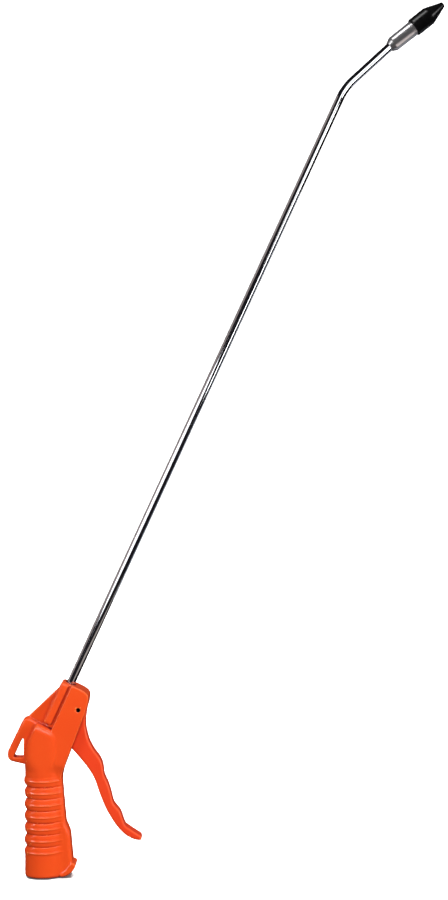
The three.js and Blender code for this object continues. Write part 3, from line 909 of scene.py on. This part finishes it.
def moulded(name, colour, painted_edge_highlight, shade, painted_recess_shade, gloss):
    """Moulded plastic: colour drift, fine grain, a painted highlight on its sharp edges and painted
    shade in its creases and recesses.
    """
    mat, tree, shader = material(name)
    place = tree.nodes.new("ShaderNodeTexCoord").outputs["Object"]
    drift = texture(tree, "ShaderNodeTexNoise", 38.0, 3.0, 0.5, place)
    drifted = ramp(tree, drift.outputs["Fac"], [(0.3, 0.0), (0.7, 1.0)])
    base = mix(tree, drifted.outputs["Color"], shade, colour)
    # Painted highlight: sharp edges get a paler colour, standing in for light caught on the edges'
    # fillets.
    pale_edges = edge_mask(tree, 0.51, 0.565)
    base = mix(tree, pale_edges.outputs["Color"], base, painted_edge_highlight)
    # Painted shade: colour is darkened where ambient occlusion finds creases and recesses, standing in
    # for the shade there.
    open_air = tree.nodes.new("ShaderNodeAmbientOcclusion")
    open_air.samples = 12
    open_air.inputs["Distance"].default_value = 0.004
    recess_shade_mask = ramp(tree, open_air.outputs["AO"], [(0.25, 1.0), (0.9, 0.0)])
    base = mix(tree, recess_shade_mask.outputs["Color"], base, painted_recess_shade)
    tree.links.new(base, shader.inputs["Base Color"])
    grain = texture(tree, "ShaderNodeTexNoise", 2600.0, 3.0, 0.6, place)
    rough = ramp(tree, drift.outputs["Fac"], [(0.2, gloss - 0.03), (0.8, gloss + 0.04)])
    tree.links.new(rough.outputs["Color"], shader.inputs["Roughness"])
    bump(tree, shader, grain.outputs["Fac"], 0.12, 0.00006)
    shader.inputs["IOR"].default_value = 1.49
    shader.inputs["Specular IOR Level"].default_value = 0.42
    shader.inputs["Sheen Weight"].default_value = 0.02
    shader.inputs["Subsurface Weight"].default_value = 0.06
    shader.inputs["Subsurface Scale"].default_value = 0.002
    return mat


def metal(name, colour, dark, gloss, scratch, anisotropy=0.0, bare=1.0):
    """Bare or plated metal: fine scratches, smudges and slightly duller patches."""
    mat, tree, shader = material(name)
    place = tree.nodes.new("ShaderNodeTexCoord").outputs["Object"]
    smudge = texture(tree, "ShaderNodeTexNoise", 60.0, 4.0, 0.6, place)
    tone = ramp(tree, smudge.outputs["Fac"], [(0.35, dark), (0.65, colour)])
    pale_edges = edge_mask(tree, 0.53, 0.62)
    bright = tuple(min(1.0, c * 1.06) for c in colour)
    base = mix(tree, pale_edges.outputs["Color"], tone.outputs["Color"], bright)
    tree.links.new(base, shader.inputs["Base Color"])
    rough = ramp(tree, smudge.outputs["Fac"], [(0.3, gloss), (0.8, gloss + 0.05)])
    tree.links.new(rough.outputs["Color"], shader.inputs["Roughness"])
    fine = texture(tree, "ShaderNodeTexNoise", 900.0, 2.0, 0.5, place)
    bump(tree, shader, fine.outputs["Fac"], scratch, 0.00002)
    shader.inputs["Metallic"].default_value = bare
    shader.inputs["Anisotropic"].default_value = anisotropy
    return mat


def rubber(name, colour, gloss):
    mat, tree, shader = material(name)
    place = tree.nodes.new("ShaderNodeTexCoord").outputs["Object"]
    bloom = texture(tree, "ShaderNodeTexNoise", 140.0, 5.0, 0.6, place)
    pale = tuple(c * 1.7 for c in colour)
    rubbed = tuple(c * 2.4 for c in colour)
    tone = ramp(tree, bloom.outputs["Fac"], [(0.4, colour), (0.75, pale)])
    pale_edges = edge_mask(tree, 0.53, 0.62)
    base = mix(tree, pale_edges.outputs["Color"], tone.outputs["Color"], rubbed)
    tree.links.new(base, shader.inputs["Base Color"])
    rough = ramp(tree, bloom.outputs["Fac"], [(0.3, gloss), (0.8, gloss + 0.1)])
    tree.links.new(rough.outputs["Color"], shader.inputs["Roughness"])
    grain = texture(tree, "ShaderNodeTexNoise", 1800.0, 3.0, 0.6, place)
    bump(tree, shader, grain.outputs["Fac"], 0.15, 0.00004)
    shader.inputs["Sheen Weight"].default_value = 0.05
    shader.inputs["Specular IOR Level"].default_value = 0.5
    return mat


def paper(name, colour):
    mat, tree, shader = material(name)
    place = tree.nodes.new("ShaderNodeTexCoord").outputs["Object"]
    cloud = texture(tree, "ShaderNodeTexNoise", 1.5, 2.0, 0.5, place)
    pale = tuple(min(1.0, c * 1.01) for c in colour)
    tone = ramp(tree, cloud.outputs["Fac"], [(0.3, colour), (0.7, pale)])
    tree.links.new(tone.outputs["Color"], shader.inputs["Base Color"])
    shader.inputs["Roughness"].default_value = 0.85
    shader.inputs["Specular IOR Level"].default_value = 0.1
    return mat


# The edge colours below are painted highlights and the recess colours are painted shade.
ORANGE = moulded(
    "orange_moulding",
    colour=(0.86, 0.085, 0.013),
    painted_edge_highlight=(0.95, 0.2, 0.045),
    shade=(0.84, 0.076, 0.013),
    painted_recess_shade=(0.36, 0.018, 0.012),
    gloss=0.24,
)
LEVER_RED = moulded(
    "lever_moulding",
    colour=(0.85, 0.062, 0.016),
    painted_edge_highlight=(0.95, 0.22, 0.06),
    shade=(0.82, 0.056, 0.015),
    painted_recess_shade=(0.62, 0.035, 0.013),
    gloss=0.24,
)
CHROME = metal("chrome_plate", (0.74, 0.75, 0.77), (0.7, 0.71, 0.73), 0.05, 0.02)
ALUMINIUM = metal("polished_aluminium", (0.86, 0.85, 0.86), (0.8, 0.79, 0.8), 0.27, 0.05, 0.3, 0.82)
BRASS = metal("turned_brass", (0.78, 0.56, 0.25), (0.7, 0.49, 0.2), 0.22, 0.08)
STEEL = metal("spring_steel", (0.5, 0.5, 0.52), (0.42, 0.42, 0.44), 0.28, 0.08)
NICKEL = metal("nickel_plate", (0.62, 0.59, 0.55), (0.5, 0.47, 0.43), 0.2, 0.05)
PIN_STEEL = metal("oiled_steel", (0.16, 0.15, 0.15), (0.1, 0.1, 0.1), 0.4, 0.1)
BLACK_RUBBER = rubber("black_rubber", (0.006, 0.006, 0.0063), 0.2)
SEAL_RUBBER = rubber("seal_rubber", (0.02, 0.02, 0.02), 0.45)


# ---- dressing the frame --------------------------------------------------------------
def dress(obj, mat):
    obj.data.materials.clear()
    obj.data.materials.append(mat)


def stand_in(obj, node, body, mat):
    dress(obj, mat)
    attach(obj, body)
    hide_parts(node)
    return obj


def dress_pieces():
    stand_in(build_housing(), "grip_housing", "housing", ORANGE)
    stand_in(build_lever(), "lever", "lever", LEVER_RED)
    stand_in(build_tube(), "extension_tube", "housing", CHROME)
    stand_in(build_sleeve(), "tip_sleeve", "housing", ALUMINIUM)
    stand_in(build_tip(), "rubber_tip", "housing", BLACK_RUBBER)
    stand_in(build_bushing(), "inlet_bushing", "housing", BRASS)
    stand_in(build_pin(), "pivot_pin", "housing", PIN_STEEL)
    spring = stand_in(build_spring(), "valve_spring", "housing", STEEL)
    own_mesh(spring)
    kept = {
        "inlet_o_ring": SEAL_RUBBER,
        "valve_cartridge": BRASS,
        "cartridge_o_ring": SEAL_RUBBER,
        "stem_o_ring": SEAL_RUBBER,
        "valve_stem": STEEL,
        "valve_poppet": BRASS,
        "poppet_seal": SEAL_RUBBER,
        "tube_ferrule": NICKEL,
        "tube_o_ring": SEAL_RUBBER,
        "tip_nipple": BRASS,
    }
    for node, mat in kept.items():
        obj = frame["nodes"][node]
        dress(obj, mat)
        smooth_shading(obj)


def smooth_shading(obj):
    bevel = obj.modifiers.new("edge", "BEVEL")
    bevel.width = 0.00008
    bevel.segments = 2
    bevel.limit_method = "ANGLE"
    bevel.angle_limit = math.radians(40)
    bevel.harden_normals = False


# ---- room, light and camera ----------------------------------------------------------
CENTRE_X = 0.1359
CENTRE_Z = 0.3262
DISTANCE = 1.10
FRAME_HEIGHT = 900 * 0.000768


ROOM_RADIUS = 2.4
ROOM_BEND = 0.9
ROOM_HEIGHT = 4.5
FLOOR_BELOW = 0.0006


def build_room():
    """Pale seamless bowl all round. It is left out of reflections, so the metal keeps dark edges."""
    sides = 96
    profile = [(0.3, -FLOOR_BELOW), (1.2, -FLOOR_BELOW), (ROOM_RADIUS, -FLOOR_BELOW)]
    for k in range(1, 13):
        angle = math.pi / 2 * k / 12
        rise = ROOM_BEND * (1 - math.cos(angle))
        profile.append((ROOM_RADIUS + ROOM_BEND * math.sin(angle), rise - FLOOR_BELOW))
    profile.append((ROOM_RADIUS + ROOM_BEND, ROOM_HEIGHT))
    verts = []
    for radius, height in profile:
        for s in range(sides):
            angle = 2 * math.pi * s / sides
            verts.append((radius * math.cos(angle), radius * math.sin(angle), height))
    faces = [list(range(sides))]
    for k in range(len(profile) - 1):
        for s in range(sides):
            t = (s + 1) % sides
            faces.append((k * sides + s, (k + 1) * sides + s, (k + 1) * sides + t, k * sides + t))
    mesh = bpy.data.meshes.new("room")
    mesh.from_pydata(verts, [], faces)
    mesh.shade_smooth()
    room = bpy.data.objects.new("room", mesh)
    bpy.context.scene.collection.objects.link(room)
    room.data.materials.append(paper("pale_backdrop", (0.9, 0.9, 0.9)))
    room.visible_glossy = False
    room.visible_diffuse = False
    return room


def softbox(name, place, aim, width, height, radiance, colour=(1, 1, 1), lean=(0, 0, 1)):
    """Soft panel facing a point. The panel's height runs along lean; radiance is its brightness."""
    data = bpy.data.lights.new(name, "AREA")
    data.shape = "RECTANGLE"
    data.size = width
    data.size_y = height
    data.energy = radiance * math.pi * width * height
    data.color = colour
    obj = bpy.data.objects.new(name, data)
    outward = (Vector(place) - Vector(aim)).normalized()
    upward = Vector(lean) - outward * Vector(lean).dot(outward)
    upward.normalize()
    sideways = upward.cross(outward)
    turn = Matrix((sideways, upward, outward)).transposed()
    obj.rotation_euler = turn.to_euler()
    obj.location = place
    bpy.context.scene.collection.objects.link(obj)
    return obj


def light_only(light, *names):
    """Keeps a panel's light, and its reflection, to the named pieces."""
    group = bpy.data.collections.new(light.name + "_on")
    for name in names:
        group.objects.link(bpy.data.objects[name])
    light.light_linking.receiver_collection = group


MOULDINGS = ("grip_shell", "lever_body")
TUBE = ("tube_body",)
TIP_AND_SLEEVE = ("sleeve_body", "tip_body")
WARM = (1.0, 0.88, 0.8)
ROSE = (1.0, 0.85, 0.82)
COOL = (0.82, 0.87, 1.0)
LILAC = (0.98, 0.96, 1.0)
CREAM = (1.0, 0.9, 0.86)
WHITE = (1.0, 1.0, 1.0)
UPRIGHT = (0, 0, 1)
LEANING = tuple(ALONG)


def panel(name, place, aim, size, radiance, pieces=(), colour=WHITE, lean=UPRIGHT, mirrored=True):
    """Softbox for the named pieces, or for all. The camera sees it only where it is mirrored."""
    light = softbox(name, place, aim, *size, radiance, colour, lean)
    light.visible_camera = False
    light.visible_glossy = mirrored
    if pieces:
        light_only(light, *pieces)
    return light


def light_broadly():
    """Broad front light, strips down both sides and a panel for the ribs' crests."""
    front = (0.0, -2.2, 0.7)
    panel("front", front, (0.05, 0, 0.15), (0.9, 0.9), 5.5, mirrored=False)
    left = (-0.92, -0.69, 0.74)
    pieces = MOULDINGS + TIP_AND_SLEEVE + ("pin_body",)
    panel("left_strip", left, (0.09, 0, 0.3), (0.6, 0.55), 2.4, pieces, lean=LEANING)
    rim = (0.52, 0.25, 0.2)
    panel("rim", rim, (0.12, 0, 0.4), (0.1, 0.5), 1.2, colour=COOL, lean=LEANING)
    right = (0.9, -0.63, 0.29)
    pieces = MOULDINGS + TUBE + ("pin_body",)
    panel("right_strip", right, (0.16, 0, 0.47), (0.22, 0.45), 5.0, pieces, lean=LEANING)
    panel("crest", (0.1, -1.6, 0.95), (0.0, 0, 0.08), (1.3, 0.42), 7.0, MOULDINGS)


def light_metal():
    """Cards seen as streaks in the chromed tube and the sleeve."""
    low = (0.22, -0.15, 0.04)
    panel("low_card", low, (0.03, 0, 0.17), (0.34, 0.06), 0.4, TUBE, WARM)
    edge = (-0.9, 0.153, 0.75)
    middle = (0.087, 0, 0.3)
    panel("edge_card", edge, middle, (1.5, 1.3), 0.32, TUBE, ROSE, LEANING)
    oval = (-0.4, -0.86, 0.475)
    middle = (0.087, 0, 0.297)
    lens = panel("lens_card", oval, middle, (1.25, 0.42), 1.8, TUBE, LILAC, LEANING)
    lens.data.shape = "ELLIPSE"
    aside = (0.78, -0.35, 0.05)
    panel("sleeve_card", aside, (0.28, 0, 0.65), (0.8, 0.5), 0.9, ("sleeve_body",), CREAM)
    top = (-0.043, -0.485, 1.462)
    panel("top_strip", top, (0.28, 0, 0.65), (0.4, 0.4), 4.0, TIP_AND_SLEEVE)


def light_moulded_edges():
    """Panels for the shoulder and the edges of the grip and the lever."""
    fill = (1.3, -0.5, 0.35)
    panel("right_fill", fill, (0.05, 0, 0.08), (0.5, 0.9), 10.0, MOULDINGS, mirrored=False)
    gleam = (-0.92, -0.55, 0.6)
    panel("left_gleam", gleam, (0, 0, 0.11), (0.3, 0.5), 9.0, MOULDINGS, lean=LEANING)
    panel("above", (0.5, -0.5, 1.1), (0, 0, 0.12), (0.5, 0.3), 4.0, MOULDINGS)


def light_bend_and_tip():
    """Cards seen in the tube's bend and the rubber tip."""
    card = (0.48, -1.15, 0.8)
    across = (0.62, 0, -0.78)
    panel("tip_card", card, (0.245, 0, 0.62), (0.24, 0.8), 2.2, TUBE, lean=across)
    cone = (1.37, -0.5, 0.86)
    panel("cone_card", cone, (0.3, 0, 0.66), (0.25, 0.3), 5.0, ("tip_body",))


def light_back_and_room(room):
    """Soft light from behind, and even light for the room all round."""
    behind = (-0.5, 1.4, 0.8)
    pieces = MOULDINGS + TIP_AND_SLEEVE + ("pin_body", "bushing_body")
    panel("behind", behind, (0.1, 0, 0.35), (0.9, 0.9), 9.0, pieces, mirrored=False)
    over = (0.0, -0.3, 3.0)
    walls = (room.name,)
    lean = (0, 1, 0)
    panel("floor_wash", over, (0, 0, 0), (3.0, 3.0), 4.5, walls, lean=lean, mirrored=False)
    even = panel("floor_fill", over, (0, 0, 0), (3.0, 3.0), 1.6, walls, lean=lean, mirrored=False)
    even.data.use_shadow = False
    for k in range(4):
        outward = Vector((math.sin(math.pi / 2 * k), math.cos(math.pi / 2 * k), 0))
        place = tuple(1.3 * outward + Vector((0, 0, 3.0)))
        aim = tuple(2.9 * outward + Vector((0, 0, 0.4)))
        panel("wall_wash_%d" % k, place, aim, (3.0, 1.8), 6.5, walls, mirrored=False)


def build_light(room):
    world = bpy.data.worlds.new("studio")
    bpy.context.scene.world = world
    world.use_nodes = True
    background = world.node_tree.nodes["Background"]
    background.inputs["Color"].default_value = (0.9, 0.8, 1.0, 1)
    background.inputs["Strength"].default_value = 0.012
    light_broadly()
    light_metal()
    light_moulded_edges()
    light_bend_and_tip()
    light_back_and_room(room)


def build_camera():
    data = bpy.data.cameras.new("camera")
    data.sensor_fit = "VERTICAL"
    data.sensor_height = 36.0
    data.lens = 36.0 * DISTANCE / FRAME_HEIGHT
    data.clip_start = 0.05
    data.clip_end = 20
    obj = bpy.data.objects.new("camera", data)
    obj.location = (CENTRE_X, -DISTANCE, CENTRE_Z)
    obj.rotation_euler = (math.radians(90), 0, 0)
    bpy.context.scene.collection.objects.link(obj)
    bpy.context.scene.camera = obj


dress_pieces()
build_light(build_room())
build_camera()
bpy.context.scene.view_settings.view_transform = "Standard"
